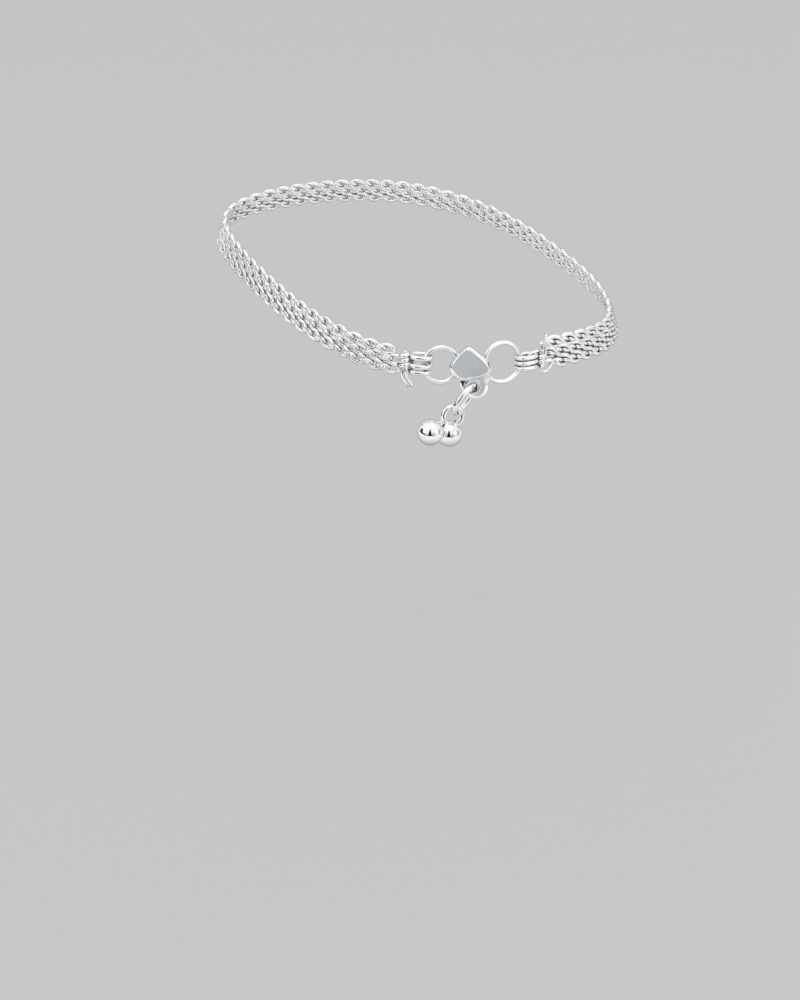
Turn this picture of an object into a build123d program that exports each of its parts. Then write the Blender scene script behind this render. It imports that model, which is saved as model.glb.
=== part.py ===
from build123d import *
import math
import os

# Payal anklet, worn form. Millimetres and degrees.
# Origin: on the leg's axis, in the middle of the loop. +Z runs up the leg, +X points to the instep,
# -Y is the side that carries the clasp.

# The loop round the ankle: control rows of a closed curve, from the heel to the instep.
# turn: angle about the leg's axis, away from the instep; reach: distance from the axis;
# near, far: height on the clasp side and on the plain side.
LOOP_ROWS = (
    # turn, reach, near, far
    (180.0, 48.5, 7.5, 7.5),
    (157.5, 40.5, 6.6, 6.9),
    (135.0, 36.0, 4.4, 5.2),
    (112.5, 36.5, 2.6, 2.7),
    (90.0, 37.0, -0.9, -0.2),
    (67.5, 37.0, -2.6, -3.1),
    (45.0, 37.5, -3.3, -5.6),
    (22.5, 42.0, -4.2, -7.3),
    (0.0, 46.0, -8.2, -8.2),
)
STEPS_PER_ROW = 40          # samples of the curve between two control rows
LEAN = 17.0                 # the band's lower edge stands further out than its upper edge
CLASP_TURN = 301.5          # where the heart sits, measured about the leg's axis

# The band: three rows of links side by side
ROWS = ("upper", "middle", "lower")
ROW_PITCH = 2.17
LINK_PITCH = 3.8            # wanted spacing, rounded to fill the band
LINK_WIRE = 0.75
LINK_WIDTH = 2.1
LINK_ROLL = 45.0
LINK_OVERLAP = 0.3          # how far neighbouring links sink into each other
END_LINK_WIRE = 0.6
END_LINK_WIDTH = 2.2
END_LINK_LEAD = 0.75        # from the tie's wire to the end link's own wire

# Hardware on the clasp side, each place as a distance along the loop from the heart
BIG_WIRE = 1.0
BIG_RINGS = {
    # side: place, height across the band, outward shift, outer diameter
    "left": (-6.0, -0.1, -0.22, 8.4),
    "right": (7.35, -0.3, 0.22, 9.3),
}
BIG_TURN = 3.5              # turn of the big rings about the width of the band
SMALL_WIRE = 1.0
SMALL_LENGTH = 5.8
SMALL_WIDTH = 4.3
SMALL_RINGS = {
    # side: (place, height across the band, tilt) from top to bottom
    "left": ((-10.42, 1.55, -5.0), (-10.5, 0.0, -16.0), (-10.42, -1.55, -5.0)),
    "right": ((12.6, 0.25, -3.0), (12.6, -0.88, -3.0), (12.2, -2.0, -3.0)),
}
TIE_WIRE = 0.6
TIE_BAND_SIDE = {"left": -14.5, "right": 17.0}
TIE_RING_SIDE = {"left": -11.88, "right": 13.72}
TIE_TALL = 3.2              # half height of the tie where it threads the rows
TIE_SHORT = 2.65            # half height where it threads the small rings
TIE_DROP = {"left": 0.0, "right": -0.5}
TIE_BEND = 0.65
KNOT_HEIGHT = {"left": 1.1, "right": -1.1}
KNOT_TURNS = 2
KNOT_SNUG = 0.95            # how closely the turns of the knot hold the wire and each other
CUT_ENDS = {
    # side: for each cut end, where it leaves the knot along the band, then its corners
    "left": (
        (0.0, (-0.4, 0.6, 1.7), (-0.3, -3.3, 1.6), (1.0, -4.3, 1.3)),
        (0.3, (0.6, 0.7, 1.8), (0.9, -3.2, 1.6), (1.8, -4.3, 1.2)),
    ),
    "right": (
        (0.0, (0.0, -0.6, 1.7), (0.5, 3.0, 1.6), (0.8, 4.4, 1.2)),
        (-0.1, (0.3, -1.7, 1.85), (0.6, -3.2, 1.7), (1.3, -3.9, 1.3)),
    ),
}

# Heart clasp: plate outline as a rounded triangle with bowed sides, point upwards
HEART_TURN = 8.0
HEART_POINT = (-0.5, 5.1)
HEART_LEFT = (-5.6, -2.3)
HEART_RIGHT = (5.6, -2.7)
HEART_BOW = 0.75            # how far each side bulges
HEART_POINT_ROUND = 1.6
HEART_SIDE_ROUND = 1.9
HEART_BACK = 0.75           # back of the plate, outward from the loop's middle surface
HEART_THICK = 2.5
HEART_BEVEL = 0.45
EYE_WIRE = 0.7              # plain loops behind the plate that hold the big rings
EYE_REACH = 1.02
EYES = (-2.3, 3.2)
LUG_CENTRE = (0.75, -4.25)
LUG_TOP = -1.2              # where the rounded top of the lug lies behind the plate
LUG_RADIUS = 2.85
LUG_THICK = 0.9
LUG_HOLE_CENTRE = (0.36, -4.58)
LUG_HOLE = 2.9
LUG_RIM = 3.8
LUG_RIM_RISE = 0.15

# Drop: oval link and the pair of balls
OVAL_LENGTH = 8.0
OVAL_WIDTH = 4.8
OVAL_WIRE = 1.0
OVAL_CENTRE = (-1.42, -7.14)
OVAL_SLANT = 38.0
OVAL_ROLL = 48.0            # the left side of the link stands in front
DROP_OUT = 1.4              # middle of the drop, outward from the loop's middle surface
BELL_LOOP_CENTRE = (-4.0, -10.4)
BELL_LOOP_OUTER = 5.3
BELL_LOOP_WIRE = 1.1
BALL_DIAMETER = 5.6
BALLS = (
    # along, across, outward, neck angle on the loop
    (-9.5, -13.3, 3.6, 200.0),
    (-4.67, -14.6, 0.9, 280.0),
)
NECK_RADIUS = 0.6

SEATED = (Align.CENTER, Align.CENTER, Align.MIN)


def loop_controls():
    """Control points of the closed curve, once round the leg from the instep."""
    half = {row[0]: row for row in LOOP_ROWS}
    step = LOOP_ROWS[0][0] - LOOP_ROWS[1][0]
    count = round(360 / step)
    points = []
    for index in range(count):
        angle = index * step
        on_plain_side = angle < 180
        _, reach, near, far = half[angle if on_plain_side else 360 - angle]
        height = far if on_plain_side else near
        points.append(Vector(
            reach * math.cos(math.radians(angle)),
            reach * math.sin(math.radians(angle)),
            height,
        ))
    return points


def loop_samples():
    """Points along the loop, with the length run at each."""
    controls = loop_controls()
    count = len(controls)
    points = []
    for index in range(count):
        a, b, c, d = (controls[(index + k) % count] for k in (-1, 0, 1, 2))
        for step in range(STEPS_PER_ROW):
            t = step / STEPS_PER_ROW
            points.append(
                a * ((1 - t) ** 3 / 6)
                + b * ((3 * t ** 3 - 6 * t ** 2 + 4) / 6)
                + c * ((-3 * t ** 3 + 3 * t ** 2 + 3 * t + 1) / 6)
                + d * (t ** 3 / 6)
            )
    points.append(points[0])
    lengths = [0.0]
    for first, second in zip(points, points[1:]):
        lengths.append(lengths[-1] + (second - first).length)
    return points, lengths


POINTS, LENGTHS = loop_samples()
LOOP_LENGTH = LENGTHS[-1]
CLASP_LENGTH = min(
    zip(POINTS, LENGTHS),
    key=lambda pair: abs(math.degrees(math.atan2(pair[0].Y, pair[0].X)) % 360 - CLASP_TURN),
)[1]


def place(along, across=0.0, outward=0.0):
    """Frame on the loop: X along it, Y across the band towards the leg's top, Z outwards."""
    run = (CLASP_LENGTH + along) % LOOP_LENGTH
    index = next(i for i, length in enumerate(LENGTHS) if length >= run)
    index = max(index, 1)
    before, after = POINTS[index - 1], POINTS[index]
    share = (run - LENGTHS[index - 1]) / (LENGTHS[index] - LENGTHS[index - 1])
    spot = before + (after - before) * share
    count = len(POINTS) - 1
    ahead = POINTS[(index + 1) % count] - POINTS[(index - 2) % count]
    x_dir = ahead.normalized()
    level_out = x_dir.cross(Vector(0, 0, 1)).normalized()
    upright = level_out.cross(x_dir)
    lean = math.radians(LEAN)
    normal = level_out * math.cos(lean) + upright * math.sin(lean)
    frame = Plane(origin=spot, x_dir=x_dir, z_dir=normal)
    frame.origin = frame.from_local_coords(Vector(0, across, outward))
    return frame


def flat_link(length, width, wire):
    """Long ring cut from plate, lying in its own XY plane."""
    outline = SlotOverall(length, width) - SlotOverall(length - 2 * wire, width - 2 * wire)
    return extrude(outline, amount=wire / 2, both=True)


def round_ring(outer, wire):
    """Ring of round wire, lying in its own XY plane."""
    return Torus((outer - wire) / 2, wire / 2)


def long_ring(length, width, wire):
    """Long ring of round wire, lying in its own XY plane."""
    middle = SlotOverall(length - wire, width - wire).wire()
    start = middle @ 0
    section = Plane(origin=start, z_dir=middle % 0) * Circle(wire / 2)
    return sweep(section, path=middle)


def bent_wire(points, radius, wire):
    """Round wire along straight runs joined by arcs."""
    path = FilletPolyline(*points, radius=radius)
    section = Plane(origin=path @ 0, z_dir=path % 0) * Circle(wire / 2)
    return sweep(section, path=path)


def chain_row(row):
    """One row of the band, its links joined where they pass through each other."""
    across = ROW_PITCH * (1 - row)
    start = TIE_BAND_SIDE["right"] - END_LINK_LEAD
    finish = LOOP_LENGTH + TIE_BAND_SIDE["left"] + END_LINK_LEAD
    gaps = round((finish - start) / LINK_PITCH)
    pitch = (finish - start) / gaps
    length = pitch + LINK_WIRE + LINK_WIRE - LINK_OVERLAP
    plain = flat_link(length, LINK_WIDTH, LINK_WIRE)
    end = flat_link(pitch + END_LINK_WIRE, END_LINK_WIDTH, END_LINK_WIRE)
    links = []
    for index in range(gaps):
        middle = start + pitch * (index + 0.5)
        if index in (0, gaps - 1):
            links.append(place(middle, across) * Rot(X=90) * end)
        else:
            roll = LINK_ROLL if index % 2 else -LINK_ROLL
            links.append(place(middle, across) * Rot(X=roll) * plain)
    return links[0].fuse(*links[1:])


def tie_wire(side):
    """Closed wire through the end links and the small rings, knotted, with two cut ends."""
    band = TIE_BAND_SIDE[side]
    reach = TIE_RING_SIDE[side] - band
    drop = TIE_DROP[side]
    corners = [
        (0, TIE_TALL),
        (0, -TIE_TALL),
        (reach, drop - TIE_SHORT),
        (reach, drop + TIE_SHORT),
    ]
    path = FilletPolyline(*corners, radius=TIE_BEND, close=True)
    section = Plane(origin=path @ 0, z_dir=path % 0) * Circle(TIE_WIRE / 2)
    tie = sweep(section, path=path)
    knot = KNOT_HEIGHT[side]
    snug = TIE_WIRE * KNOT_SNUG
    for turn in range(KNOT_TURNS):
        height = knot + snug * (turn - (KNOT_TURNS - 1) / 2)
        tie += Pos(0, height, 0) * Rot(X=90) * Torus(snug, TIE_WIRE / 2)
    for start, *corners in CUT_ENDS[side]:
        tie += bent_wire([(start, knot, snug), *corners], TIE_WIRE, TIE_WIRE)
    return place(band) * tie


def small_ring(side, index):
    """Linking ring that holds the tie and the big ring together."""
    along, across, tilt = SMALL_RINGS[side][index]
    ring = long_ring(SMALL_LENGTH, SMALL_WIDTH, SMALL_WIRE)
    return place(along, across) * Rot(X=90 - tilt) * ring


def big_ring(side):
    """Round ring between the small rings and the heart."""
    along, across, outward, outer = BIG_RINGS[side]
    return place(along, across, outward) * Rot(Y=BIG_TURN) * round_ring(outer, BIG_WIRE)


def bowed_side(start, end):
    """Arc from one corner of the heart to the next, bulging outwards."""
    first, last = Vector(*start), Vector(*end)
    direction = (last - first).normalized()
    middle = (first + last) * 0.5 + Vector(direction.Y, -direction.X) * HEART_BOW
    return ThreePointArc(first, middle, last)


def heart_plate():
    """Rounded triangle, point upwards, with bowed sides and a bevelled front edge."""
    corners = (HEART_POINT, HEART_LEFT, HEART_RIGHT)
    face = make_face([bowed_side(corners[k - 1], corners[k]) for k in range(len(corners))])
    face = fillet(face.vertices().sort_by(Axis.Y)[-1:], HEART_POINT_ROUND)
    low = [vertex for vertex in face.vertices() if vertex.Y < (HEART_LEFT[1] + HEART_RIGHT[1]) / 3]
    face = fillet(low, HEART_SIDE_ROUND)
    plate = extrude(face, amount=HEART_THICK)
    return chamfer(plate.faces().sort_by(Axis.Z)[-1].edges(), HEART_BEVEL)


def heart_clasp():
    """Plate, the holed lug under it and the two eyes behind it, soldered into one piece."""
    across, down = LUG_CENTRE
    tab = SlotCenterToCenter(LUG_TOP - down, 2 * LUG_RADIUS, rotation=90)
    lug = Pos(across, (LUG_TOP + down) / 2) * extrude(tab, amount=LUG_THICK)
    rim = Pos(*LUG_HOLE_CENTRE) * Cylinder(LUG_RIM / 2, LUG_THICK + LUG_RIM_RISE, align=SEATED)
    hole = Pos(*LUG_HOLE_CENTRE) * Cylinder(LUG_HOLE / 2, 4 * LUG_THICK)
    clasp = Pos(0, 0, HEART_BACK) * (heart_plate() + (lug + rim - hole))
    for along in EYES:
        clasp += Pos(along, 0, 0) * Rot(X=90) * Torus(EYE_REACH, EYE_WIRE / 2)
    return place(0) * Rot(Y=-HEART_TURN) * clasp


def oval_link():
    """Oval link through the lug and the loop of the balls."""
    across, down = OVAL_CENTRE
    ring = Rot(Z=90) * long_ring(OVAL_LENGTH, OVAL_WIDTH, OVAL_WIRE)
    return place(0, 0, DROP_OUT) * Pos(across, down) * Rot(Z=-OVAL_SLANT) * Rot(Y=OVAL_ROLL) * ring


def bell_pair():
    """Loop with a neck down to each of the two closed balls, soldered into one piece."""
    across, down = BELL_LOOP_CENTRE
    middle = (BELL_LOOP_OUTER - BELL_LOOP_WIRE) / 2
    pair = Pos(across, down, DROP_OUT) * round_ring(BELL_LOOP_OUTER, BELL_LOOP_WIRE)
    for along, height, outward, neck_angle in BALLS:
        ball = Vector(along, height, outward)
        turn = math.radians(neck_angle)
        foot = Vector(across + middle * math.cos(turn), down + middle * math.sin(turn), DROP_OUT)
        frame = Plane(origin=foot, z_dir=ball - foot)
        reach = (ball - foot).length
        neck = frame * Cylinder(NECK_RADIUS, reach, align=SEATED)
        pair += neck + frame * Pos(0, 0, reach) * Sphere(BALL_DIAMETER / 2)
    return place(0) * pair


def write_part(name, shape):
    """Write one piece and print its size and volume."""
    solids = shape.solids()
    kept = solids[0] if len(solids) == 1 else Compound(children=list(solids))
    kept.label = name
    export_step(kept, os.path.join("parts", name + ".step"))
    print(f"{name}: {len(solids)} solid, {sum(s.volume for s in solids):.1f} mm3, {len(kept.faces())} faces")


def main():
    os.makedirs("parts", exist_ok=True)
    print(f"loop length {LOOP_LENGTH:.1f} mm")
    for row, name in enumerate(ROWS):
        write_part("chain_row_" + name, chain_row(row))
    for side in ("left", "right"):
        write_part("tie_wire_" + side, tie_wire(side))
        write_part("big_ring_" + side, big_ring(side))
        for index in range(len(SMALL_RINGS[side])):
            write_part(f"small_ring_{side}_{index + 1}", small_ring(side, index))
    write_part("heart_clasp", heart_clasp())
    write_part("oval_link", oval_link())
    write_part("bell_pair", bell_pair())


main()
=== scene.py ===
import bisect
import math

import bmesh
import bpy
from bpy.props import FloatProperty, FloatVectorProperty, IntProperty, PointerProperty
from mathutils import Matrix, Vector


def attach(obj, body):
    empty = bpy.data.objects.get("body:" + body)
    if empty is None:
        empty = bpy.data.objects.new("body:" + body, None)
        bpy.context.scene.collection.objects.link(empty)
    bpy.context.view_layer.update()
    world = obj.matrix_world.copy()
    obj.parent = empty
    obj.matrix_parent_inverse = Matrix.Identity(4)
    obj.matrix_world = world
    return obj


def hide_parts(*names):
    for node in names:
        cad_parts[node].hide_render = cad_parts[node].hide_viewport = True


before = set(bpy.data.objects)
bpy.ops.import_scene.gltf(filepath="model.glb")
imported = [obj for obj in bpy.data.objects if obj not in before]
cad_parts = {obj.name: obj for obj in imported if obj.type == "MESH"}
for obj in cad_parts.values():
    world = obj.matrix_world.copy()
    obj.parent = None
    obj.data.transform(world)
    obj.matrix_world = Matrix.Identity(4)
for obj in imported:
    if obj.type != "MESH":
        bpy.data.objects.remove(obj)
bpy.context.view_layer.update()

bl_info = {
    "name": "Payal Anklet",
    "version": (1, 0, 0),
    "blender": (4, 5, 0),
    "location": "View3D > Sidebar > Anklet",
    "description": "Silver payal anklet: three-row link band, rings, heart clasp and bell drop",
    "category": "Add Mesh",
}

MM = 0.001

# The loop round the ankle, from the heel to the instep: angle about the leg's axis in degrees,
# then distance from the axis and height on the clasp side and on the plain side, in millimetres
LOOP_ROWS = (
    (180.0, 48.5, 7.5, 7.5),
    (157.5, 40.5, 6.6, 6.9),
    (135.0, 36.0, 4.4, 5.2),
    (112.5, 36.5, 2.6, 2.7),
    (90.0, 37.0, -0.9, -0.2),
    (67.5, 37.0, -2.6, -3.1),
    (45.0, 37.5, -3.3, -5.6),
    (22.5, 42.0, -4.2, -7.3),
    (0.0, 46.0, -8.2, -8.2),
)
STEPS_PER_ROW = 40
# How far the band's lower edge leans outwards, and the heart's place round the leg, in degrees
LEAN = 17.0
CLASP_TURN = 301.5

# From here on lengths are millimetres and turns degrees. Places run along the loop from the heart,
# to its right as seen from outside, then across the band and upwards, then outwards.

# Band: its two ends along the loop, height of each row, and shift of each row as a share of the
# distance between its links
BAND_NODES = ("chain_row_upper", "chain_row_middle", "chain_row_lower")
BAND_STARTS = 16.4
BAND_ENDS = -14.2
ROW_HEIGHTS = (1.86, 0.06, -1.88)
ROW_SHIFTS = (0.5, 0.0, 0.0)
# First link of the lower row, which hangs loose: along, across, outwards, turn, size
END_LINK = (17.6, -2.6, 0.45, 34.0, 0.98)
# Near the right tie the band fans out: share gained at its end, and how far along it lasts
END_SPREAD = 0.16
SPREAD_REACH = 45.0

# Rings
BIG_RINGS = {
    # place, height across the band, outward shift, outer diameter
    "left": (-6.0, -0.1, -0.22, 8.6),
    "right": (7.4, -0.3, 0.22, 9.5),
}
# Turn of the big rings about the width of the band
BIG_TURN = 3.5
# Outer size of each small ring
SMALL_LENGTH = 5.5
SMALL_WIDTH = 4.3
SMALL_RINGS = {
    # place, height across the band, tilt, from top to bottom
    "left": ((-10.5, 1.55, -5.0), (-10.6, 0.0, -16.0), (-10.5, -1.6, -5.0)),
    "right": ((12.95, 0.15, -3.0), (12.95, -0.98, -3.0), (12.8, -2.12, -3.0)),
}

# Ties: place along the loop where each threads the rows and where it threads the small rings
TIE_BAND_SIDE = {"left": -14.5, "right": 17.0}
TIE_RING_SIDE = {"left": -11.88, "right": 13.72}
TIE_HEIGHTS = {
    # side: top and bottom where it threads the rows, top and bottom where it threads the rings
    "left": (1.7, -2.0, 1.6, -1.7),
    "right": (0.9, -2.3, 0.6, -2.4),
}
KNOTS = {
    # side: middle along, across and outwards, radius of the coil, turns
    "left": (0.6, 0.5, 0.75, 0.75, 3.0),
    "right": (-0.8, -1.35, 0.6, 0.45, 2.2),
}
CUT_ENDS = {
    # routes of the two cut ends from the knot: along, across, outwards
    "left": (
        ((0.5, 0.4, 1.1), (0.6, -1.2, 1.7), (0.9, -3.0, 1.6), (1.7, -4.0, 1.4), (2.6, -4.8, 1.3)),
        ((0.9, 0.4, 1.1), (1.3, -1.0, 1.9), (1.6, -2.6, 1.7), (2.4, -3.6, 1.5), (3.3, -4.5, 1.3)),
    ),
    "right": (
        ((-0.7, -1.0, 0.9), (-0.3, 0.3, 1.6), (-0.1, 2.9, 1.5), (0.6, 4.5, 1.2)),
        ((-0.9, -1.6, 0.9), (-0.7, -2.1, 1.2), (-0.2, -2.3, 0.6)),
    ),
}
KNOT_LEAN = {"left": 12.0, "right": -8.0}
KNOT_WIRE = 1.1
# Distance between the turns of a knot, as a share of its wire's thickness
KNOT_SNUG = 0.9
# Length of the warm tip on each cut end
TIP_LENGTH = 0.8

# Turn of the heart about its upright, with its right side out
HEART_TURN = 8.0
# Heart: outline of its walls and of its flat face, point upwards
HEART_OUTLINE = (
    (-0.35, 4.6),
    (1.4, 3.1),
    (3.25, 1.6),
    (4.2, 0.1),
    (4.35, -1.1),
    (3.3, -2.1),
    (1.3, -2.65),
    (-0.3, -2.65),
    (-1.65, -3.15),
    (-3.2, -2.3),
    (-4.2, -1.1),
    (-4.5, 0.05),
    (-3.65, 1.45),
    (-1.9, 3.15),
)
HEART_FACE = (
    (-0.47, 4.1),
    (1.1, 2.6),
    (2.6, 1.3),
    (3.75, -0.1),
    (3.9, -0.95),
    (3.0, -1.65),
    (1.2, -2.2),
    (-0.3, -2.2),
    (-1.5, -2.6),
    (-2.9, -1.95),
    (-3.85, -0.75),
    (-4.15, 0.2),
    (-3.35, 1.55),
    (-1.8, 3.05),
)
# Back of the heart, outwards from the middle of the band
HEART_BACK = 0.75
# Rounding of the edges of the heart's walls and face
HEART_ROUND = 0.12
# Angle from which an edge is sharp, and area from which a face is shaded flat
SHARP_ANGLE = 40.0
FLAT_AREA = 3.0
# Eyes behind the heart: places along, radius of the middle line, wire
EYES = (-2.3, 3.2)
EYE_REACH = 1.02
EYE_WIRE = 0.7
# Lug under the heart: outline of its walls and of its flat face
LUG_OUTLINE = (
    (-2.1, -1.6),
    (2.5, -1.2),
    (4.5, -1.9),
    (4.25, -3.0),
    (3.75, -3.9),
    (3.9, -5.0),
    (3.3, -6.5),
    (1.9, -7.35),
    (0.2, -7.35),
    (-1.3, -6.2),
    (-2.15, -4.6),
    (-2.15, -3.2),
)
LUG_FACE = (
    (-1.75, -1.7),
    (2.0, -1.3),
    (2.8, -1.9),
    (2.9, -2.8),
    (3.1, -3.7),
    (3.3, -4.8),
    (2.8, -6.05),
    (1.75, -6.9),
    (0.2, -6.9),
    (-1.05, -5.85),
    (-1.8, -4.45),
    (-1.8, -3.2),
)
# Times that the corners of these outlines are cut back
OUTLINE_ROUNDS = 2
# Thickness of the lug, its step forward from the heart's back, height of its sloping edge and
# rounding of its edges
LUG_THICK = 0.85
LUG_STEP = 0.05
LUG_BEVEL = 0.3
LUG_ROUND = 0.07
# Hole in the lug: middle, radius, wire of its rim and depth that the rim sinks in
LUG_HOLE_CENTRE = (0.4, -4.58)
LUG_HOLE = 1.6
LUG_RIM = 0.28
LUG_RIM_SINK = 0.05
# Vertices nearer the hole's middle than this share of its radius lie on its edge
LUG_HOLE_NEAR = 1.1

# Drop: its middle, outwards from the middle of the band
DROP_OUT = 1.4
# Oval link: middle, slant in the band's surface, roll about its length, wire and half sizes of its
# middle line
OVAL_CENTRE = (-1.42, -7.14)
OVAL_SLANT = 38.0
OVAL_ROLL = 48.0
OVAL_WIRE = 1.3
OVAL_HALF_LENGTH = 3.5
OVAL_HALF_WIDTH = 2.05
# Loop of the bells: middle, outer diameter, wire
BELL_LOOP_CENTRE = (-4.05, -10.75)
BELL_LOOP_OUTER = 5.4
BELL_LOOP_WIRE = 1.35
BALLS = (
    # along, across, outwards, angle of the neck on the loop
    (-9.5, -13.3, 3.6, 200.0),
    (-4.67, -14.6, 0.9, 280.0),
)
# Neck of a ball: distance of its foot from the loop's middle, its radius, and where it ends, as a
# share of the ball's radius from its middle. Then how far from the neck's line the ball starts.
NECK_FOOT = 2.1
NECK_RADIUS = 0.62
NECK_END = 1.1
BALL_START = 14.0

# Fineness of the meshes: steps along a line of wire, and sides round it
LINK_STEPS = 14
LINK_SIDES = 7
BIG_SIDES = 16
SMALL_SIDES = 14
TIE_SIDES = 10
KNOT_STEPS = 48
KNOT_SIDES = 12
EYE_STEPS = 32
EYE_SIDES = 12
RIM_STEPS = 48
RIM_SIDES = 12
OVAL_STEPS = 64
OVAL_SIDES = 16
BELL_LOOP_STEPS = 56
BELL_LOOP_SIDES = 16
BALL_STEPS = 24
BALL_SIDES = 40
# Vertices closer together than this are one
SEAM = 0.002

# Finishes of the silver: colour of the dull patches, grain per metre, least and most roughness as
# shares of the dullness, strength of the hammering, and brightness left by the painted shade in
# the deepest crevices
FINISHES = {
    "chain_silver": ("shade_colour", 900.0, 0.9, 2.0, 0.25, 0.04),
    "wire_silver": ("shade_colour", 500.0, 0.6, 1.4, 0.12, 0.3),
    "tip_silver": ("brass_colour", 700.0, 1.0, 2.0, 0.2, 0.5),
    "cast_silver": ("shade_colour", 260.0, 0.3, 0.8, 0.03, 0.4),
}
# Parts of the noise and of the openness of a crevice over which the finish changes; over the
# openness, the painted shade in the crevices fades out
CLOUD_SPAN = (0.3, 0.62)
POLISH_SPAN = (0.3, 0.7)
CREVICE_SPAN = (0.25, 0.62)
# Depth of the hammering of the surface
HAMMER_DEPTH = 0.05

# Light of the room by height, from straight down at -1 to straight up at 1
ROOM_TONES = (
    (-1.0, 0.6),
    (-0.6, 0.85),
    (-0.25, 1.0),
    (-0.07, 1.0),
    (-0.02, 0.72),
    (0.04, 0.62),
    (0.1, 0.82),
    (0.3, 0.85),
    (0.6, 0.97),
)
# Shade of the room, by how closely a direction runs away from the camera
SHADE_TONES = (
    (0.0, 1.0),
    (0.4, 0.95),
    (0.7, 0.7),
    (1.0, 0.4),
)
# Dark and grey cards that draw streaks in the silver: name, turn, then height, width and tallness
# in metres, share of the width kept at the top, and tone
CARDS = (
    ("card_front", 11.0, 0.30, 0.24, 0.68, 0.2, 0.01),
    ("card_low", -14.0, -0.01, 0.20, 0.05, 1.0, 0.03),
    ("card_left", -40.0, 0.01, 0.24, 0.09, 1.0, 0.03),
    ("card_far_left", -70.0, 0.08, 0.30, 0.26, 0.7, 0.03),
    ("card_heart", 37.0, 0.02, 0.20, 0.22, 0.9, 0.7),
    ("card_right", 96.0, 0.03, 0.08, 0.3, 1.0, 0.35),
)
# Distance of the cards from the leg's axis in metres, and their slightly blue tint
CARD_REACH = 0.45
CARD_TINT = (0.94, 1.0, 1.06)
SOFT_BOXES = (
    # name, place and size in metres, share of the key's power
    ("box_above", (0.05, -0.1, 0.6), 0.5, 1.0),
    ("box_left", (-0.5, -0.45, 0.3), 0.35, 0.5),
    ("box_right", (0.55, -0.2, 0.2), 0.25, 0.35),
)
# Half the width of the floor in metres
FLOOR_REACH = 4
# How far the camera stands to the left and down from the line to the loop's middle
CAMERA_SHIFT = (4.2, 50.05)


def loop_controls():
    """Control points of the closed loop, once round the leg from the instep."""
    rows = {row[0]: row for row in LOOP_ROWS}
    step = LOOP_ROWS[0][0] - LOOP_ROWS[1][0]
    points = []
    for index in range(round(360 / step)):
        angle = index * step
        plain_side = angle < 180
        reach, near, far = rows[angle if plain_side else 360 - angle][1:]
        turn = math.radians(angle)
        height = far if plain_side else near
        points.append(Vector((reach * math.cos(turn), reach * math.sin(turn), height)) * MM)
    return points


def loop_samples():
    """Points along the loop, with the length run at each."""
    controls = loop_controls()
    count = len(controls)
    points = []
    for index in range(count):
        a, b, c, d = (controls[(index + k) % count] for k in (-1, 0, 1, 2))
        for step in range(STEPS_PER_ROW):
            t = step / STEPS_PER_ROW
            points.append(
                a * ((1 - t) ** 3 / 6)
                + b * ((3 * t**3 - 6 * t**2 + 4) / 6)
                + c * ((-3 * t**3 + 3 * t**2 + 3 * t + 1) / 6)
                + d * (t**3 / 6)
            )
    points.append(points[0].copy())
    lengths = [0.0]
    for first, second in zip(points, points[1:]):
        lengths.append(lengths[-1] + (second - first).length)
    return points, lengths


LOOP_POINTS, LOOP_RUNS = loop_samples()
LOOP_LENGTH = LOOP_RUNS[-1]
CLASP_RUN = min(
    zip(LOOP_POINTS, LOOP_RUNS),
    key=lambda pair: abs(math.degrees(math.atan2(pair[0].y, pair[0].x)) % 360 - CLASP_TURN),
)[1]


def place(along, across=0.0, outward=0.0):
    """Matrix on the loop, from millimetres: X along it, Y across the band and up, Z outwards."""
    run = (CLASP_RUN + along * MM) % LOOP_LENGTH
    index = max(bisect.bisect_left(LOOP_RUNS, run), 1)
    share = (run - LOOP_RUNS[index - 1]) / (LOOP_RUNS[index] - LOOP_RUNS[index - 1])
    spot = LOOP_POINTS[index - 1].lerp(LOOP_POINTS[index], share)
    count = len(LOOP_POINTS) - 1
    forward = (LOOP_POINTS[(index + 1) % count] - LOOP_POINTS[(index - 2) % count]).normalized()
    level_out = forward.cross(Vector((0, 0, 1))).normalized()
    upright = level_out.cross(forward)
    lean = math.radians(LEAN)
    outwards = level_out * math.cos(lean) + upright * math.sin(lean)
    up = outwards.cross(forward)
    turn = Matrix((forward, up, outwards)).transposed().to_4x4()
    return Matrix.Translation(spot) @ turn @ moved(0, across, outward)


def moved(x, y, z=0.0):
    """Matrix of a move in millimetres."""
    return Matrix.Translation(Vector((x, y, z)) * MM)


def turned(axis, degrees):
    """Matrix of a turn about one axis."""
    return Matrix.Rotation(math.radians(degrees), 4, axis)


def edges_of(verts):
    """Edges with both ends among these vertices."""
    inside = set(verts)
    return list({e for v in verts for e in v.link_edges if e.other_vert(v) in inside})


def verts_in(geometry):
    """Vertices of a mesh operator's result."""
    return [g for g in geometry if isinstance(g, bmesh.types.BMVert)]


def faces_in(geometry):
    """Faces of a mesh operator's result."""
    return [g for g in geometry if isinstance(g, bmesh.types.BMFace)]


def forward_frames(points, closed):
    """Matrices along a wire's middle line, each with Z forwards."""
    count = len(points)
    middle = sum(points, Vector()) / count
    frames = []
    for index, point in enumerate(points):
        ahead = points[(index + 1) % count] if closed or index < count - 1 else point
        behind = points[index - 1] if closed or index else point
        forward = (ahead - behind).normalized()
        side = point - middle
        if not closed:
            side = frames[-1].col[0].to_3d() if frames else forward.orthogonal()
        side = (side - forward * side.dot(forward)).normalized()
        turn = Matrix((side, forward.cross(side), forward)).transposed().to_4x4()
        frames.append(Matrix.Translation(point) @ turn)
    return frames


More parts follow.
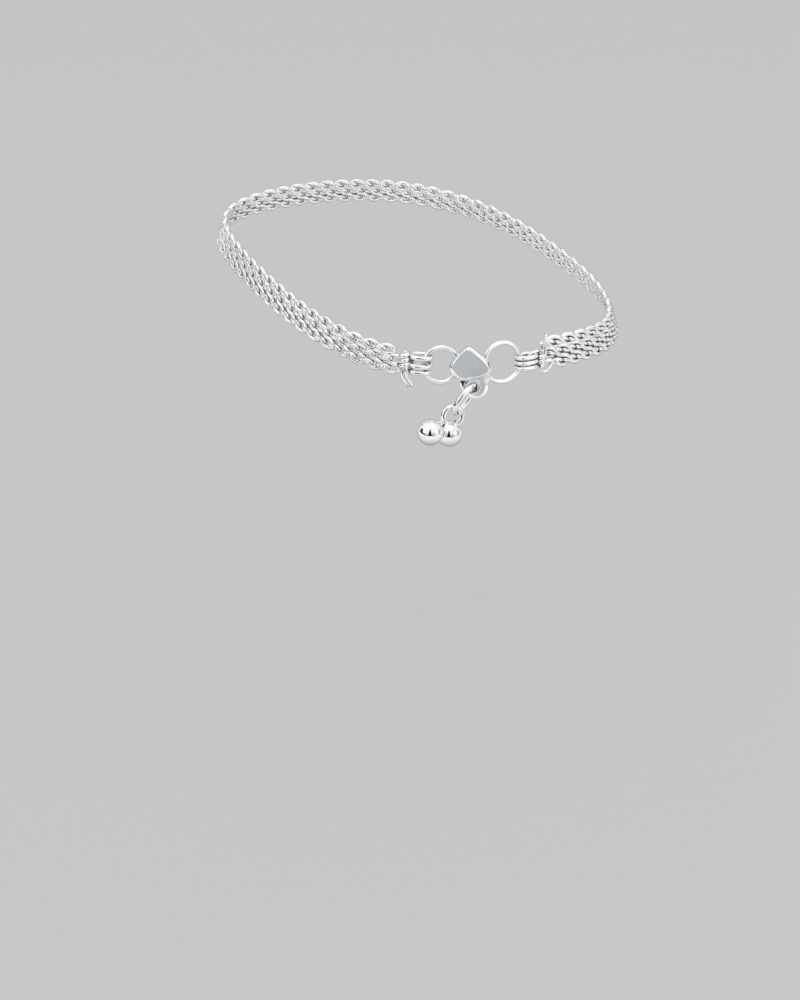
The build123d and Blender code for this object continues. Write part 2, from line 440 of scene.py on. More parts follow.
def draw_wire(bm, points, wire, sides, closed=False):
    """Round wire of that thickness drawn along its middle line, its cut ends closed."""
    frames = forward_frames(points, closed)
    made = bmesh.ops.create_circle(
        bm, cap_ends=not closed, segments=sides, radius=wire / 2, matrix=frames[0]
    )
    first = edges_of(made["verts"])
    ring = first
    for before, after in zip(frames, frames[1:]):
        verts = verts_in(bmesh.ops.extrude_edge_only(bm, edges=ring)["geom"])
        ring = edges_of(verts)
        bmesh.ops.transform(bm, matrix=after @ before.inverted(), verts=verts)
    if closed:
        bmesh.ops.bridge_loops(bm, edges=first + ring)
    else:
        bmesh.ops.contextual_create(bm, geom=ring)


def add_ring(bm, length, width, wire, steps, sides, matrix):
    """Ring of round wire lying flat, pulled out along X where it is longer than wide."""
    middle = (width - wire) / 2
    made = bmesh.ops.create_circle(
        bm,
        segments=sides,
        radius=wire / 2 * MM,
        matrix=moved(middle, 0) @ turned("X", 90),
    )
    section = made["verts"]
    before = set(bm.verts) - set(section)
    bmesh.ops.spin(
        bm,
        geom=section + edges_of(section),
        cent=(0, 0, 0),
        axis=(0, 0, 1),
        angle=math.tau,
        steps=steps,
        use_merge=True,
    )
    verts = [v for v in bm.verts if v not in before]
    stretch = (length - width) / 2
    if stretch > 0:
        for way in (1, -1):
            half = [v for v in verts if v.co.x * way > 0]
            bmesh.ops.transform(bm, matrix=moved(stretch * way, 0), verts=half)
    bmesh.ops.transform(bm, matrix=matrix, verts=verts)


def mesh_from(bm, name):
    """Finished mesh from one in the making, which is freed."""
    mesh = bpy.data.meshes.new(name)
    bm.to_mesh(mesh)
    bm.free()
    return mesh


def add_part(bm, part, matrix):
    """Joins a part in the making to a piece, moved to its place."""
    mesh = mesh_from(part, "part")
    add_copy(bm, mesh, matrix)
    bpy.data.meshes.remove(mesh)


def add_copy(bm, mesh, matrix):
    """Joins one more copy of a mesh to a piece, moved to its place."""
    known = len(bm.verts)
    bm.from_mesh(mesh)
    bm.verts.ensure_lookup_table()
    bmesh.ops.transform(bm, matrix=matrix, verts=bm.verts[known:])


def rounded_path(corners, closed=False, rounds=3):
    """Middle line of a bent wire: its corners cut back again and again until they are round."""
    points = [Vector(corner) for corner in corners]
    for _ in range(rounds):
        cut = []
        pairs = list(zip(points, points[1:]))
        if closed:
            pairs.append((points[-1], points[0]))
        for first, second in pairs:
            cut.append(first.lerp(second, 0.25))
            cut.append(first.lerp(second, 0.75))
        if not closed:
            cut[0] = points[0]
            cut[-1] = points[-1]
        points = cut
    return points


def curb_line(length, width, wire, twist, steps):
    """Middle line of a curb link: an oval whose two ends are twisted opposite ways."""
    half_long = (length - wire) / 2
    half_wide = (width - wire) / 2
    points = []
    for step in range(steps):
        angle = math.tau * (step + 0.5) / steps
        run = math.cos(angle)
        spread = half_wide * math.sin(angle)
        turn = twist * run
        points.append(Vector((half_long * run, spread * math.cos(turn), spread * math.sin(turn))))
    return points


def finish_piece(bm, name, materials, nodes):
    """Closes the seams, turns the faces outwards and hands the piece to the frame."""
    bmesh.ops.remove_doubles(bm, verts=bm.verts, dist=SEAM * MM)
    bmesh.ops.recalc_face_normals(bm, faces=bm.faces)
    mesh = mesh_from(bm, name)
    for material in materials:
        mesh.materials.append(material)
    mesh.shade_smooth()
    piece = bpy.data.objects.new(name, mesh)
    bpy.context.scene.collection.objects.link(piece)
    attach(piece, "root")
    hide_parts(*nodes)
    return piece


# ---------------------------------------------------------------- finishes


def silver(name, look):
    """Polished silver: cloudy tone, uneven polish, faint hammering and painted shade in the
    crevices.
    """
    found = bpy.data.materials.get(name)
    if found:
        return found
    dull_colour, grain, least_rough, most_rough, ripple, crevice = FINISHES[name]
    material = bpy.data.materials.new(name)
    material.use_nodes = True
    nodes = material.node_tree.nodes
    links = material.node_tree.links
    shader = nodes["Principled BSDF"]
    shader.inputs["Metallic"].default_value = 1.0
    shader.inputs["Specular IOR Level"].default_value = 0.5
    coords = nodes.new("ShaderNodeTexCoord")

    def noise(fineness, detail):
        texture = nodes.new("ShaderNodeTexNoise")
        texture.inputs["Scale"].default_value = grain * fineness
        texture.inputs["Detail"].default_value = detail
        links.new(coords.outputs["Object"], texture.inputs["Vector"])
        return texture.outputs["Fac"]

    def spread(value, span, least, most):
        change = nodes.new("ShaderNodeMapRange")
        change.inputs["From Min"].default_value = span[0]
        change.inputs["From Max"].default_value = span[1]
        change.inputs["To Min"].default_value = least
        change.inputs["To Max"].default_value = most
        links.new(value, change.inputs["Value"])
        return change.outputs["Result"]

    tone = nodes.new("ShaderNodeValToRGB")
    dull, clean = tone.color_ramp.elements
    dull.position, clean.position = CLOUD_SPAN
    dull.color = (*getattr(look, dull_colour), 1)
    clean.color = (*look.silver_colour, 1)
    links.new(noise(1.0, 3.0), tone.inputs["Fac"])
    # Painted shade: ambient occlusion darkens the base colour where other surfaces are close, in
    # crevices and between links.
    hollow = nodes.new("ShaderNodeAmbientOcclusion")
    hollow.samples = 4
    hollow.inputs["Distance"].default_value = look.crevice_shade_reach
    painted_crevice_shade = nodes.new("ShaderNodeVectorMath")
    painted_crevice_shade.operation = "SCALE"
    links.new(tone.outputs["Color"], painted_crevice_shade.inputs[0])
    open_share = spread(hollow.outputs["AO"], CREVICE_SPAN, crevice, 1.0)
    links.new(open_share, painted_crevice_shade.inputs["Scale"])
    links.new(painted_crevice_shade.outputs["Vector"], shader.inputs["Base Color"])
    rough = (look.dullness * least_rough, look.dullness * most_rough)
    links.new(spread(noise(3.1, 4.0), POLISH_SPAN, *rough), shader.inputs["Roughness"])
    hammered = nodes.new("ShaderNodeBump")
    hammered.inputs["Strength"].default_value = ripple
    hammered.inputs["Distance"].default_value = HAMMER_DEPTH * MM
    links.new(noise(1.7, 2.0), hammered.inputs["Height"])
    links.new(hammered.outputs["Normal"], shader.inputs["Normal"])
    return material


# ---------------------------------------------------------------- settings


class AnkletBand(bpy.types.PropertyGroup):
    """Sizes of the links in the band."""

    link_pitch: FloatProperty(
        name="Link Pitch",
        description="Distance from one link of a row to the next",
        default=3.75 * MM,
        subtype="DISTANCE",
        unit="LENGTH",
    )
    link_length: FloatProperty(
        name="Link Length",
        description="Outer length of a curb link",
        default=4.2 * MM,
        subtype="DISTANCE",
        unit="LENGTH",
    )
    link_width: FloatProperty(
        name="Link Width",
        description="Outer width of a curb link",
        default=2.85 * MM,
        subtype="DISTANCE",
        unit="LENGTH",
    )
    link_wire: FloatProperty(
        name="Link Wire",
        description="Thickness of the wire of a curb link",
        default=0.98 * MM,
        subtype="DISTANCE",
        unit="LENGTH",
    )
    joiner_length: FloatProperty(
        name="Joiner Length",
        description="Outer length of the link that joins two curb links",
        default=3.6 * MM,
        subtype="DISTANCE",
        unit="LENGTH",
    )
    joiner_width: FloatProperty(
        name="Joiner Width",
        description="Outer width of the link that joins two curb links",
        default=1.6 * MM,
        subtype="DISTANCE",
        unit="LENGTH",
    )
    joiner_wire: FloatProperty(
        name="Joiner Wire",
        description="Thickness of the wire of a joining link",
        default=0.88 * MM,
        subtype="DISTANCE",
        unit="LENGTH",
    )
    link_twist: FloatProperty(
        name="Link Twist",
        description="Turn of each end of a curb link out of the band",
        default=math.radians(27),
        subtype="ANGLE",
    )
    joiner_twist: FloatProperty(
        name="Joiner Twist",
        description="Turn of each end of a joining link out of the band",
        default=math.radians(65),
        subtype="ANGLE",
    )


class AnkletHardware(bpy.types.PropertyGroup):
    """Sizes of the rings, ties, clasp and drop."""

    big_wire: FloatProperty(
        name="Big Ring Wire",
        description="Wire of the two big rings beside the heart",
        default=1.08 * MM,
        subtype="DISTANCE",
        unit="LENGTH",
    )
    small_wire: FloatProperty(
        name="Small Ring Wire",
        description="Wire of the small rings between a tie and a big ring",
        default=1.0 * MM,
        subtype="DISTANCE",
        unit="LENGTH",
    )
    tie_wire: FloatProperty(
        name="Tie Wire",
        description="Wire that ties the rows of the band to the small rings",
        default=0.84 * MM,
        subtype="DISTANCE",
        unit="LENGTH",
    )
    heart_thick: FloatProperty(
        name="Heart Thickness",
        description="Thickness of the heart plate",
        default=2.5 * MM,
        subtype="DISTANCE",
        unit="LENGTH",
    )
    heart_bevel: FloatProperty(
        name="Heart Bevel",
        description="Height of the sloping edge round the heart's face",
        default=0.45 * MM,
        subtype="DISTANCE",
        unit="LENGTH",
    )
    ball_diameter: FloatProperty(
        name="Ball Diameter",
        description="Diameter of each closed ball",
        default=5.6 * MM,
        subtype="DISTANCE",
        unit="LENGTH",
    )
    ring_steps: IntProperty(
        name="Ring Steps",
        description="Steps round each ring",
        default=64,
        min=16,
    )


class AnkletLook(bpy.types.PropertyGroup):
    """Colours and polish of the silver."""

    silver_colour: FloatVectorProperty(
        name="Silver",
        description="Colour of the clean silver",
        default=(0.97, 0.97, 0.965),
        subtype="COLOR",
        min=0,
        max=1,
    )
    shade_colour: FloatVectorProperty(
        name="Silver Shade",
        description="Colour of the duller patches of the silver",
        default=(0.86, 0.865, 0.87),
        subtype="COLOR",
        min=0,
        max=1,
    )
    brass_colour: FloatVectorProperty(
        name="Cut Tip",
        description="Warm colour where a tie was cut and the plating is thin",
        default=(0.78, 0.6, 0.36),
        subtype="COLOR",
        min=0,
        max=1,
    )
    # Reach of the painted shade: how far the ambient occlusion looks for neighbours before it
    # darkens the silver.
    crevice_shade_reach: FloatProperty(
        name="Crevice Reach",
        description="How far from a neighbour the silver is darkened by tarnish",
        default=1.0 * MM,
        subtype="DISTANCE",
        unit="LENGTH",
    )
    dullness: FloatProperty(
        name="Dullness",
        description="Average roughness of the polished surfaces",
        default=0.1,
        min=0.0,
        max=1.0,
    )


class AnkletStage(bpy.types.PropertyGroup):
    """Floor, light and camera."""

    floor_colour: FloatVectorProperty(
        name="Floor",
        description="Colour of the floor",
        default=(0.56, 0.56, 0.56),
        subtype="COLOR",
        min=0,
        max=1,
    )
    floor_depth: FloatProperty(
        name="Floor Depth",
        description="Height of the floor under the middle of the loop",
        default=-0.09,
        subtype="DISTANCE",
        unit="LENGTH",
    )
    room_light: FloatProperty(
        name="Room Light",
        description="Strength of the even light from all round",
        default=1.0,
        min=0.0,
    )
    key_light: FloatProperty(
        name="Key Light",
        description="Power of the soft light above",
        default=0.3,
        min=0.0,
    )
    azimuth: FloatProperty(
        name="Camera Azimuth",
        description="Camera's angle round the leg from the front",
        default=math.radians(15),
        subtype="ANGLE",
    )
    elevation: FloatProperty(
        name="Camera Elevation",
        description="Camera's angle above the horizon",
        default=math.radians(32.95),
        subtype="ANGLE",
    )
    distance: FloatProperty(
        name="Camera Distance",
        description="Distance of the camera from the middle of the loop",
        default=0.6,
        subtype="DISTANCE",
        unit="LENGTH",
    )
    lens: FloatProperty(
        name="Lens",
        description="Focal length of the camera in millimetres",
        default=97.55,
    )


# ---------------------------------------------------------------- pieces


class ANKLET_OT_band(bpy.types.Operator):
    """Three rows of twisted links, side by side"""

    bl_idname = "anklet.band"
    bl_label = "Band"

    def execute(self, context):
        band = context.scene.anklet_band
        materials = [silver("chain_silver", context.scene.anklet_look)]
        links = self.link_meshes(band)
        length = LOOP_LENGTH / MM + BAND_ENDS - BAND_STARTS
        count = round(length / (band.link_pitch / MM))
        for node, height, shift in zip(BAND_NODES, ROW_HEIGHTS, ROW_SHIFTS):
            bm = bmesh.new()
            hangs = node == BAND_NODES[-1]
            if hangs:
                along, drop, outward, turn, size = END_LINK
                hung = place(along, drop, outward) @ turned("Z", turn) @ Matrix.Scale(size, 4)
                add_copy(bm, links["link"], hung)
            for kind, along in self.row_places(count, length / count, shift, hangs):
                fan = 1 + END_SPREAD * max(0, 1 - (along - BAND_STARTS) / SPREAD_REACH)
                spot = place(along, height * fan) @ Matrix.Scale(fan, 4)
                add_copy(bm, links[kind], spot)
            name = node.replace("chain_", "band_")
            finish_piece(bm, name, materials, [node])
        for mesh in links.values():
            bpy.data.meshes.remove(mesh)
        return {"FINISHED"}

    def link_meshes(self, band):
        """Mesh of a curb link and of a joining link, each about its own middle."""
        joiner_sizes = (band.joiner_length, band.joiner_width, band.joiner_wire)
        links = {}
        for kind, sizes, twist in (
            ("link", (band.link_length, band.link_width, band.link_wire), band.link_twist),
            ("joiner", joiner_sizes, band.joiner_twist),
        ):
            bm = bmesh.new()
            line = curb_line(*sizes, twist, LINK_STEPS)
            draw_wire(bm, line, sizes[-1], LINK_SIDES, closed=True)
            links[kind] = mesh_from(bm, "band_" + kind)
        return links

    def row_places(self, count, pitch, shift, hangs):
        """Kind and place along the loop of each link of a row. A shifted row is one link short."""
        last = count - (2 if shift else 1)
        for index in range(last + 1):
            along = BAND_STARTS + pitch * (index + 0.5 + shift)
            if index or not hangs:
                yield "link", along
            if shift and index == 0:
                yield "joiner", along - pitch / 2
            if index < last:
                yield "joiner", along + pitch / 2


class ANKLET_OT_big_rings(bpy.types.Operator):
    """Round ring on each side of the heart"""

    bl_idname = "anklet.big_rings"
    bl_label = "Big Rings"

    def execute(self, context):
        sizes = context.scene.anklet_hardware
        materials = [silver("wire_silver", context.scene.anklet_look)]
        wire = sizes.big_wire / MM
        for side, (along, across, outward, outer) in BIG_RINGS.items():
            bm = bmesh.new()
            matrix = place(along, across, outward) @ turned("Y", BIG_TURN)
            add_ring(bm, outer, outer, wire, sizes.ring_steps, BIG_SIDES, matrix)
            finish_piece(bm, "ring_big_" + side, materials, ["big_ring_" + side])
        return {"FINISHED"}


class ANKLET_OT_small_rings(bpy.types.Operator):
    """Three long rings between each tie and its big ring"""

    bl_idname = "anklet.small_rings"
    bl_label = "Small Rings"

    def execute(self, context):
        sizes = context.scene.anklet_hardware
        materials = [silver("wire_silver", context.scene.anklet_look)]
        wire = sizes.small_wire / MM
        for side, rings in SMALL_RINGS.items():
            for index, (along, across, tilt) in enumerate(rings, 1):
                bm = bmesh.new()
                matrix = place(along, across) @ turned("X", 90 - tilt)
                steps = sizes.ring_steps
                add_ring(bm, SMALL_LENGTH, SMALL_WIDTH, wire, steps, SMALL_SIDES, matrix)
                name = f"ring_small_{side}_{index}"
                finish_piece(bm, name, materials, [f"small_ring_{side}_{index}"])
        return {"FINISHED"}


class ANKLET_OT_ties(bpy.types.Operator):
    """Bent wire that ties the rows to the small rings, knotted, with two cut ends"""

    bl_idname = "anklet.ties"
    bl_label = "Tie Wires"

    def execute(self, context):
        wire = context.scene.anklet_hardware.tie_wire
        look = context.scene.anklet_look
        materials = [silver("wire_silver", look), silver("tip_silver", look)]
        for side in ("left", "right"):
            bm = bmesh.new()
            self.add_loop(bm, side, wire)
            self.add_knot(bm, side)
            self.add_cut_ends(bm, side, wire)
            bmesh.ops.transform(bm, matrix=place(TIE_BAND_SIDE[side]), verts=bm.verts)
            finish_piece(bm, "tie_" + side, materials, ["tie_wire_" + side])
        return {"FINISHED"}

    def add_loop(self, bm, side, wire):
        """Closed loop through the rows and back through the small rings."""
        reach = TIE_RING_SIDE[side] - TIE_BAND_SIDE[side]
        band_top, band_foot, ring_top, ring_foot = TIE_HEIGHTS[side]
        corners = [
            (0, band_top, 0),
            (0, (band_top + band_foot) / 2, 0),
            (0, band_foot, 0),
            (reach, ring_foot, 0),
            (reach, (ring_top + ring_foot) / 2, 0),
            (reach, ring_top, 0),
        ]
        loop = rounded_path([Vector(corner) * MM for corner in corners], closed=True)
        draw_wire(bm, loop, wire, TIE_SIDES, closed=True)

    def add_knot(self, bm, side):
        """Coil of thicker wire on the loop."""
        along, across, outward, radius, turns = KNOTS[side]
        coil = []
        for step in range(KNOT_STEPS + 1):
            share = step / KNOT_STEPS - 0.5
            turn = math.tau * turns * share
            lift = share * turns * KNOT_WIRE * KNOT_SNUG
            spot = (math.sin(turn) * radius, lift, math.cos(turn) * radius)
            coil.append(Vector(spot) * MM)
        known = len(bm.verts)
        draw_wire(bm, coil, KNOT_WIRE * MM, KNOT_SIDES)
        bm.verts.ensure_lookup_table()
        lean = moved(along, across, outward) @ turned("Z", KNOT_LEAN[side])
        bmesh.ops.transform(bm, matrix=lean, verts=bm.verts[known:])

    def add_cut_ends(self, bm, side, wire):
        """Two ends that leave the knot, with their tips in the second material."""
        for route in CUT_ENDS[side]:
            path = rounded_path([Vector(point) * MM for point in route])
            known = len(bm.faces)
            draw_wire(bm, path, wire, TIE_SIDES)
            bm.faces.ensure_lookup_table()
            for face in bm.faces[known:]:
                if (face.calc_center_median() - path[-1]).length < TIP_LENGTH * MM:
                    face.material_index = 1


class ANKLET_OT_heart(bpy.types.Operator):
    """Heart plate with its holed lug and the two eyes behind it"""

    bl_idname = "anklet.heart"
    bl_label = "Heart Clasp"

    def execute(self, context):
        sizes = context.scene.anklet_hardware
        materials = [silver("cast_silver", context.scene.anklet_look)]
        bm = bmesh.new()
        self.add_plate(bm, sizes)
        self.add_lug(bm)
        bmesh.ops.transform(bm, matrix=moved(0, 0, HEART_BACK), verts=bm.verts)
        width = EYE_REACH * 2 + EYE_WIRE
        for along in EYES:
            eye = moved(along, 0) @ turned("X", 90)
            add_ring(bm, width, width, EYE_WIRE, EYE_STEPS, EYE_SIDES, eye)
        bmesh.ops.transform(bm, matrix=place(0) @ turned("Y", -HEART_TURN), verts=bm.verts)
        piece = finish_piece(bm, "clasp_heart", materials, ["heart_clasp"])
        piece.data.set_sharp_from_angle(angle=math.radians(SHARP_ANGLE))
        for face in piece.data.polygons:
            face.use_smooth = face.area < FLAT_AREA * MM * MM
        return {"FINISHED"}

    def add_plate(self, bm, sizes):
        """Plate on the heart's outline, its edge sloping in to the flat face."""
        outline = self.guide(HEART_OUTLINE)
        plate = bmesh.new()
        circle = bmesh.ops.create_circle(plate, cap_ends=True, segments=len(outline), radius=MM)
        for vert, point in zip(circle["verts"], outline):
            vert.co = point
        base = plate.faces[:]
        wall = bmesh.ops.extrude_face_region(plate, geom=base, use_keep_orig=True)["geom"]
        wall_height = sizes.heart_thick - sizes.heart_bevel
        bmesh.ops.translate(plate, vec=(0, 0, wall_height), verts=verts_in(wall))
        face = verts_in(bmesh.ops.extrude_face_region(plate, geom=faces_in(wall))["geom"])
        self.inset(face[:], outline, HEART_FACE, sizes.heart_thick)
        self.round_edges(plate, edges_of(verts_in(wall)) + edges_of(face), HEART_ROUND)
        add_part(bm, plate, Matrix())

    def add_lug(self, bm):
        """Holed tab under the heart with a raised rim round its hole."""
        outline = self.guide(LUG_OUTLINE)
        hole = moved(*LUG_HOLE_CENTRE)
        tab = bmesh.new()
        outer, inner = (
            bmesh.ops.create_circle(tab, segments=len(outline), radius=radius * MM)["verts"]
            for radius in (LUG_HOLE * 2, LUG_HOLE)
        )
        base = bmesh.ops.bridge_loops(tab, edges=edges_of(outer) + edges_of(inner))["faces"]
        bmesh.ops.transform(tab, matrix=hole, verts=inner)
        for vert, point in zip(outer, outline):
            vert.co = point
        wall = bmesh.ops.extrude_face_region(tab, geom=base, use_keep_orig=True)["geom"]
        raised = verts_in(wall)
        bmesh.ops.translate(tab, vec=(0, 0, (LUG_THICK - LUG_BEVEL) * MM), verts=raised)
        face = verts_in(bmesh.ops.extrude_face_region(tab, geom=faces_in(wall))["geom"])
        middle = Vector(LUG_HOLE_CENTRE) * MM
        near = LUG_HOLE * LUG_HOLE_NEAR * MM
        rim = [v for v in face if (v.co.xy - middle).length < near]
        bmesh.ops.translate(tab, vec=(0, 0, LUG_BEVEL * MM), verts=rim)
        edge = [v for v in face if v not in rim]
        self.inset(edge[:], outline, LUG_FACE, LUG_THICK * MM)
        brow = [v for v in raised if v.is_valid and (v.co.xy - middle).length > near]
        self.round_edges(tab, edges_of(brow) + edges_of(edge), LUG_ROUND)
        width = (LUG_HOLE + LUG_RIM) * 2
        matrix = hole @ moved(0, 0, LUG_THICK - LUG_RIM_SINK)
        add_ring(tab, width, width, LUG_RIM, RIM_STEPS, RIM_SIDES, matrix)
        add_part(bm, tab, moved(0, 0, LUG_STEP))

    def guide(self, corners):
        """Points of a rounded outline, counter-clockwise from above."""
        points = [Vector((*point, 0)) * MM for point in reversed(corners)]
        return rounded_path(points, closed=True, rounds=OUTLINE_ROUNDS)

    def inset(self, verts, outline, corners, height):
        """Moves each vertex above the outline to its place on the inner outline."""
        for point, inner in zip(outline, self.guide(corners)):
            vert = min(verts, key=lambda v: (v.co.xy - point.xy).length)
            vert.co = inner + Vector((0, 0, height))
            verts.remove(vert)

    def round_edges(self, part, edges, offset):
        """Rounds these edges by that many millimetres."""
        bmesh.ops.bevel(
            part,
            geom=edges,
            offset=offset * MM,
            segments=2,
            profile=0.5,
            affect="EDGES",
            material=-1,
        )


class ANKLET_OT_oval(bpy.types.Operator):
    """Oval link that carries the drop"""

    bl_idname = "anklet.oval"
    bl_label = "Oval Link"

    def execute(self, context):
        materials = [silver("wire_silver", context.scene.anklet_look)]
        bm = bmesh.new()
        line = []
        for step in range(OVAL_STEPS):
            turn = math.tau * step / OVAL_STEPS
            spot = (math.sin(turn) * OVAL_HALF_WIDTH, math.cos(turn) * OVAL_HALF_LENGTH, 0)
            line.append(Vector(spot) * MM)
        draw_wire(bm, line, OVAL_WIRE * MM, OVAL_SIDES, closed=True)
        middle = place(0, 0, DROP_OUT) @ moved(*OVAL_CENTRE)
        matrix = middle @ turned("Z", -OVAL_SLANT) @ turned("Y", OVAL_ROLL)
        bmesh.ops.transform(bm, matrix=matrix, verts=bm.verts)
        finish_piece(bm, "link_oval", materials, ["oval_link"])
        return {"FINISHED"}


class ANKLET_OT_balls(bpy.types.Operator):
    """Loop with two necked balls"""

    bl_idname = "anklet.balls"
    bl_label = "Bell Pair"

    def execute(self, context):
        radius = context.scene.anklet_hardware.ball_diameter / 2
        materials = [silver("cast_silver", context.scene.anklet_look)]
        bm = bmesh.new()
        across, down = BELL_LOOP_CENTRE
        loop = moved(across, down, DROP_OUT)
        fineness = (BELL_LOOP_STEPS, BELL_LOOP_SIDES)
        add_ring(bm, BELL_LOOP_OUTER, BELL_LOOP_OUTER, BELL_LOOP_WIRE, *fineness, loop)
        for *ball, neck_angle in BALLS:
            turn = math.radians(neck_angle)
            aside = across + NECK_FOOT * math.cos(turn)
            foot = Vector((aside, down + NECK_FOOT * math.sin(turn), DROP_OUT))
            self.add_ball(bm, foot * MM, Vector(ball) * MM, radius)
        bmesh.ops.transform(bm, matrix=place(0), verts=bm.verts)
        finish_piece(bm, "drop_balls", materials, ["bell_pair"])
        return {"FINISHED"}

    def add_ball(self, bm, foot, ball, radius):
        """Ball and its neck turned as one shape about the line from the loop to the ball."""
        reach = (ball - foot).length
        neck = NECK_RADIUS * MM
        profile = [Vector((neck, 0, 0)), Vector((neck, 0, reach - radius * NECK_END))]
        for step in range(BALL_STEPS + 1):
            angle = math.radians(BALL_START + (180 - BALL_START) * step / BALL_STEPS)
            height = reach - radius * math.cos(angle)
            profile.append(Vector((radius * math.sin(angle), 0, height)))
        profile[-1].x = 0
        known = set(bm.verts)
        verts = [bm.verts.new(point) for point in profile]
        edges = [bm.edges.new(pair) for pair in zip(verts, verts[1:])]
        bmesh.ops.spin(
            bm,
            geom=verts + edges,
            cent=(0, 0, 0),
            axis=(0, 0, 1),
            angle=math.tau,
            steps=BALL_SIDES,
            use_merge=True,
        )
        made = [v for v in bm.verts if v not in known]
        aim = (ball - foot).to_track_quat("Z", "Y").to_matrix().to_4x4()
        bmesh.ops.transform(bm, matrix=Matrix.Translation(foot) @ aim, verts=made)


class ANKLET_OT_stage(bpy.types.Operator):
    """Floor, soft light and camera"""

    bl_idname = "anklet.stage"
    bl_label = "Stage"

    def execute(self, context):
        scene = context.scene
        stage = scene.anklet_stage
        self.add_floor(scene, stage)
        self.add_room(scene, stage)
        self.add_cards(scene)
        self.add_lights(scene, stage)
        self.add_camera(scene, stage)
        scene.view_settings.view_transform = "Standard"
        return {"FINISHED"}

    def add_floor(self, scene, stage):
        """Plain pale floor."""
        bm = bmesh.new()
        bmesh.ops.create_grid(bm, x_segments=1, y_segments=1, size=FLOOR_REACH)
        bmesh.ops.translate(bm, vec=(0, 0, stage.floor_depth), verts=bm.verts)
        floor = self.painted(scene, bm, "floor", stage.floor_colour, 0.8)
        floor.visible_glossy = False

    def painted(self, scene, bm, name, colour, roughness):
        """Object in the scene, made from this mesh and painted one colour."""
        paint = bpy.data.materials.new(name + "_paint")
        paint.use_nodes = True
        shader = paint.node_tree.nodes["Principled BSDF"]
        shader.inputs["Base Color"].default_value = (*colour, 1)
        shader.inputs["Roughness"].default_value = roughness
        mesh = mesh_from(bm, name)
        mesh.materials.append(paint)
        sheet = bpy.data.objects.new(name, mesh)
        scene.collection.objects.link(sheet)
        return sheet

    def add_room(self, scene, stage):
        """Pale room, dimmer at the horizon and straight down, and shaded away from the camera."""
        world = bpy.data.worlds.new("room")
        scene.world = world
        world.use_nodes = True
        nodes = world.node_tree.nodes
        links = world.node_tree.links
        coords = nodes.new("ShaderNodeTexCoord")
        split = nodes.new("ShaderNodeSeparateXYZ")
        span = nodes.new("ShaderNodeMapRange")
        span.inputs["From Min"].default_value = -1.0
        links.new(coords.outputs["Generated"], split.inputs["Vector"])
        links.new(split.outputs["Z"], span.inputs["Value"])
        sky = self.add_ramp(nodes, [((height + 1) / 2, tone) for height, tone in ROOM_TONES])
        links.new(span.outputs["Result"], sky.inputs["Fac"])
        away = nodes.new("ShaderNodeVectorMath")
        away.operation = "DOT_PRODUCT"
        away.inputs[1].default_value = -self.camera_back(stage)
        links.new(coords.outputs["Generated"], away.inputs[0])
        shade = self.add_ramp(nodes, SHADE_TONES)
        links.new(away.outputs["Value"], shade.inputs["Fac"])
        both = nodes.new("ShaderNodeVectorMath")
        both.operation = "MULTIPLY"
        links.new(sky.outputs["Color"], both.inputs[0])
        links.new(shade.outputs["Color"], both.inputs[1])
        links.new(both.outputs["Vector"], nodes["Background"].inputs["Color"])
        nodes["Background"].inputs["Strength"].default_value = stage.room_light

    def add_ramp(self, nodes, stops):
        """Grey ramp through these places and tones."""
        ramp = nodes.new("ShaderNodeValToRGB")
        colours = ramp.color_ramp.elements
        colours.remove(colours[1])
        for spot, tone in stops:
            colours.new(spot).color = (tone, tone, tone, 1)
        colours.remove(colours[0])
        return ramp

    def camera_back(self, stage):
        """Direction from the loop to the camera."""
        turn, rise = stage.azimuth, stage.elevation
        level = math.cos(rise)
        return Vector((math.sin(turn) * level, -math.cos(turn) * level, math.sin(rise)))

    def add_cards(self, scene):
        """Cards round the loop, seen only in the polished metal."""
        for name, turn, height, width, tall, top, tone in CARDS:
            bm = bmesh.new()
            bmesh.ops.create_grid(bm, x_segments=1, y_segments=1, size=0.5)
            bmesh.ops.scale(bm, vec=(width, tall, 1), verts=bm.verts)
            upper = [v for v in bm.verts if v.co.y > 0]
            bmesh.ops.scale(bm, vec=(top, 1, 1), verts=upper)
            angle = math.radians(turn)
            spot = Vector((math.sin(angle) * CARD_REACH, -math.cos(angle) * CARD_REACH, height))
            inward = Vector((-spot.x, -spot.y, 0))
            aim = inward.to_track_quat("Z", "Y").to_matrix().to_4x4()
            bmesh.ops.transform(bm, matrix=Matrix.Translation(spot) @ aim, verts=bm.verts)
            card = self.painted(scene, bm, name, [tone * share for share in CARD_TINT], 1.0)
            card.visible_camera = False
            card.visible_shadow = False
            card.visible_diffuse = False

    def add_lights(self, scene, stage):
        """Soft boxes above and at the sides, aimed at the middle of the loop."""
        for name, spot, size, share in SOFT_BOXES:
            light = bpy.data.lights.new(name, "AREA")
            light.size = size
            light.energy = stage.key_light * share
            box = bpy.data.objects.new(name, light)
            box.location = spot
            box.rotation_euler = (-Vector(spot)).to_track_quat("-Z", "Y").to_euler()
            scene.collection.objects.link(box)

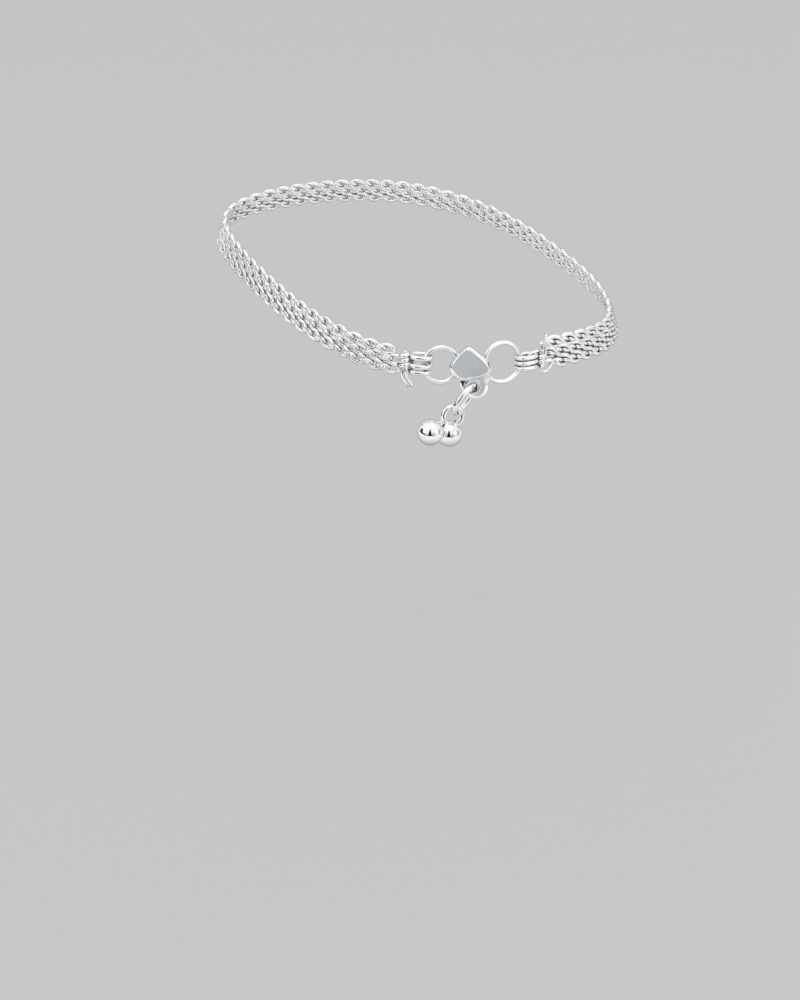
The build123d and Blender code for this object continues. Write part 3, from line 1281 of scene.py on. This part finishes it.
    def add_camera(self, scene, stage):
        """Camera above the clasp side."""
        back = self.camera_back(stage)
        right = Vector((math.cos(stage.azimuth), math.sin(stage.azimuth), 0))
        up = back.cross(right)
        data = bpy.data.cameras.new("camera")
        data.lens = stage.lens
        data.sensor_width = 36
        data.clip_start = 0.01
        camera = bpy.data.objects.new("camera", data)
        aside, down = CAMERA_SHIFT
        spot = back * stage.distance - right * aside * MM - up * down * MM
        turn = Matrix((right, up, back)).transposed().to_4x4()
        camera.matrix_world = Matrix.Translation(spot) @ turn
        scene.collection.objects.link(camera)
        scene.camera = camera


# ---------------------------------------------------------------- panel


STEPS = (
    ANKLET_OT_stage,
    ANKLET_OT_band,
    ANKLET_OT_big_rings,
    ANKLET_OT_small_rings,
    ANKLET_OT_ties,
    ANKLET_OT_heart,
    ANKLET_OT_oval,
    ANKLET_OT_balls,
)


class ANKLET_PT_panel(bpy.types.Panel):
    """Anklet's sizes, colours and steps"""

    bl_label = "Payal Anklet"
    bl_idname = "ANKLET_PT_panel"
    bl_space_type = "VIEW_3D"
    bl_region_type = "UI"
    bl_category = "Anklet"

    def draw(self, context):
        layout = self.layout
        for name in SETTINGS:
            box = layout.box()
            group = getattr(context.scene, name)
            for key in group.bl_rna.properties.keys():
                if key not in ("rna_type", "name"):
                    box.prop(group, key)
        for step in STEPS:
            layout.operator(step.bl_idname)


SETTINGS = {
    "anklet_band": AnkletBand,
    "anklet_hardware": AnkletHardware,
    "anklet_look": AnkletLook,
    "anklet_stage": AnkletStage,
}


def register():
    for group in SETTINGS.values():
        bpy.utils.register_class(group)
    for step in STEPS:
        bpy.utils.register_class(step)
    bpy.utils.register_class(ANKLET_PT_panel)
    for name, group in SETTINGS.items():
        setattr(bpy.types.Scene, name, PointerProperty(type=group))


def unregister():
    for name in SETTINGS:
        delattr(bpy.types.Scene, name)
    bpy.utils.unregister_class(ANKLET_PT_panel)
    for step in reversed(STEPS):
        bpy.utils.unregister_class(step)
    for group in SETTINGS.values():
        bpy.utils.unregister_class(group)


def main():
    register()
    bpy.ops.anklet.stage()
    bpy.ops.anklet.band()
    bpy.ops.anklet.big_rings()
    bpy.ops.anklet.small_rings()
    bpy.ops.anklet.ties()
    bpy.ops.anklet.heart()
    bpy.ops.anklet.oval()
    bpy.ops.anklet.balls()


if __name__ == "__main__":
    main()
